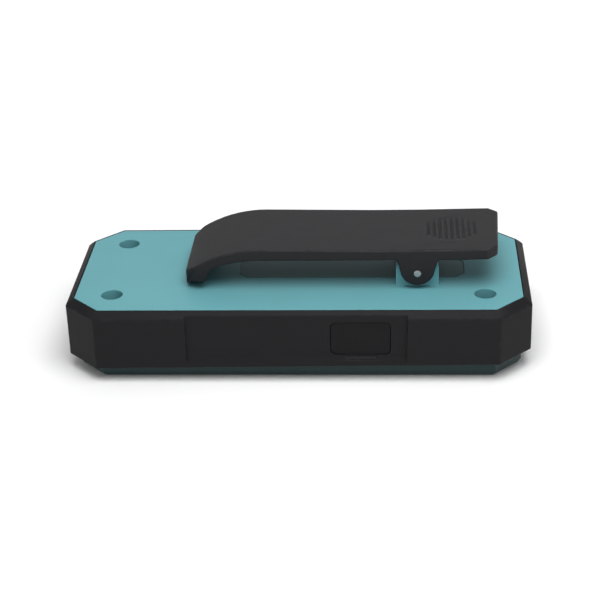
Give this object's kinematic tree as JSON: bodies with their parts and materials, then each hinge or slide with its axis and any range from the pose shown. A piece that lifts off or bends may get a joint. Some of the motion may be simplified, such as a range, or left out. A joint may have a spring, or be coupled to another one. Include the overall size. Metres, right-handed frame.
{
  "type": "pager",
  "caption": "Hand-sized pager with a teal back, a black bumper frame with cut corners, a sprung belt clip, a rubber port cover, front keys and a display.",
  "frame": {"origin": "middle of the front face, on which the pager lies", "axes": "+X along the body towards the clip's thumb end, +Z out of the back"},
  "size_m": [0.1, 0.0446, 0.0259],
  "materials": {
    "teal_plastic": "satin moulded plastic",
    "key_plastic": "satin moulded plastic",
    "smoked_plastic": "satin moulded plastic",
    "label": "matt film",
    "black_bumper": "fine matt texture",
    "black_plastic": "fine matt texture",
    "gloss_black": "gloss",
    "window": "clear gloss",
    "grey_rubber": "matt",
    "port_rubber": "matt",
    "inner_rubber": "matt",
    "steel": "fine turned",
    "spring_steel": "drawn wire",
    "screw_steel": "zinc plated",
    "inner_black": "matt",
    "circuit_board": "solder mask",
    "display": "gloss",
    "white_plastic": "satin",
    "light_guide": "gloss",
    "battery_foil": "crinkled foil",
    "foam": "open foam",
    "red_wire": "gloss",
    "tungsten": "sintered",
    "led": "gloss",
    "copper": "enamelled wire"
  },
  "bodies": {
    "case": {"rear_cover": "teal_plastic", "cover_label": "label", "front_shell": "smoked_plastic", "bumper_frame": "black_bumper", "front_overlay": "gloss_black", "display_window": "window", "rear_gasket": "grey_rubber", "torsion_spring": "spring_steel", "cover_screws": "screw_steel", "usb_connector": "steel", "usb_tongue": "inner_black", "main_board": "circuit_board", "display_panel": "display", "display_holder": "white_plastic", "light_bar": "light_guide", "switch_bases": "steel", "battery": "battery_foil", "battery_pad": "foam", "battery_wire_red": "red_wire", "battery_wire_black": "inner_black", "battery_plug": "white_plastic", "motor_can": "steel", "motor_cradle": "inner_rubber", "buzzer": "inner_black", "rf_shield": "steel", "board_chips": "inner_black", "status_leds": "led", "antenna_coil": "copper"},
    "clip": {"belt_clip": "black_plastic", "hinge_pin": "steel"},
    "port_flap": {"port_cover": "port_rubber"},
    "up_key": {"key_up": "key_plastic", "plunger_up": "inner_black"},
    "enter_key": {"key_enter": "key_plastic", "plunger_enter": "inner_black"},
    "down_key": {"key_down": "key_plastic", "plunger_down": "inner_black"},
    "motor_rotor": {"motor_shaft": "steel", "motor_weight": "tungsten"}
  },
  "joints": [
    {"name": "clip_hinge", "type": "hinge", "parent": "case", "child": "clip", "pos_m": [0.0257, 0, 0.0202], "axis": [0, 1, 0], "range_deg": [0, 16], "stiffness_Nm_per_rad": 0.1, "springref_deg": -22.92, "deforming": ["torsion_spring"]},
    {"name": "port_flap_hinge", "type": "hinge", "parent": "case", "child": "port_flap", "pos_m": [0.0136, -0.0213, 0.01392], "axis": [-1, 0, 0], "range_deg": [0, 88], "stiffness_Nm_per_rad": 0.0002, "springref_deg": -5.73},
    {"name": "up_key_press", "type": "slide", "parent": "case", "child": "up_key", "axis": [0, 0, 1], "range_m": [0, 0.0004], "stiffness_N_per_m": 500, "springref_m": -0.0008},
    {"name": "enter_key_press", "type": "slide", "parent": "case", "child": "enter_key", "axis": [0, 0, 1], "range_m": [0, 0.0004], "stiffness_N_per_m": 500, "springref_m": -0.0008},
    {"name": "down_key_press", "type": "slide", "parent": "case", "child": "down_key", "axis": [0, 0, 1], "range_m": [0, 0.0004], "stiffness_N_per_m": 500, "springref_m": -0.0008},
    {"name": "motor_spin", "type": "hinge", "parent": "case", "child": "motor_rotor", "pos_m": [0.019, 0.0115, 0.01165], "axis": [1, 0, 0], "continuous": true}
  ]
}
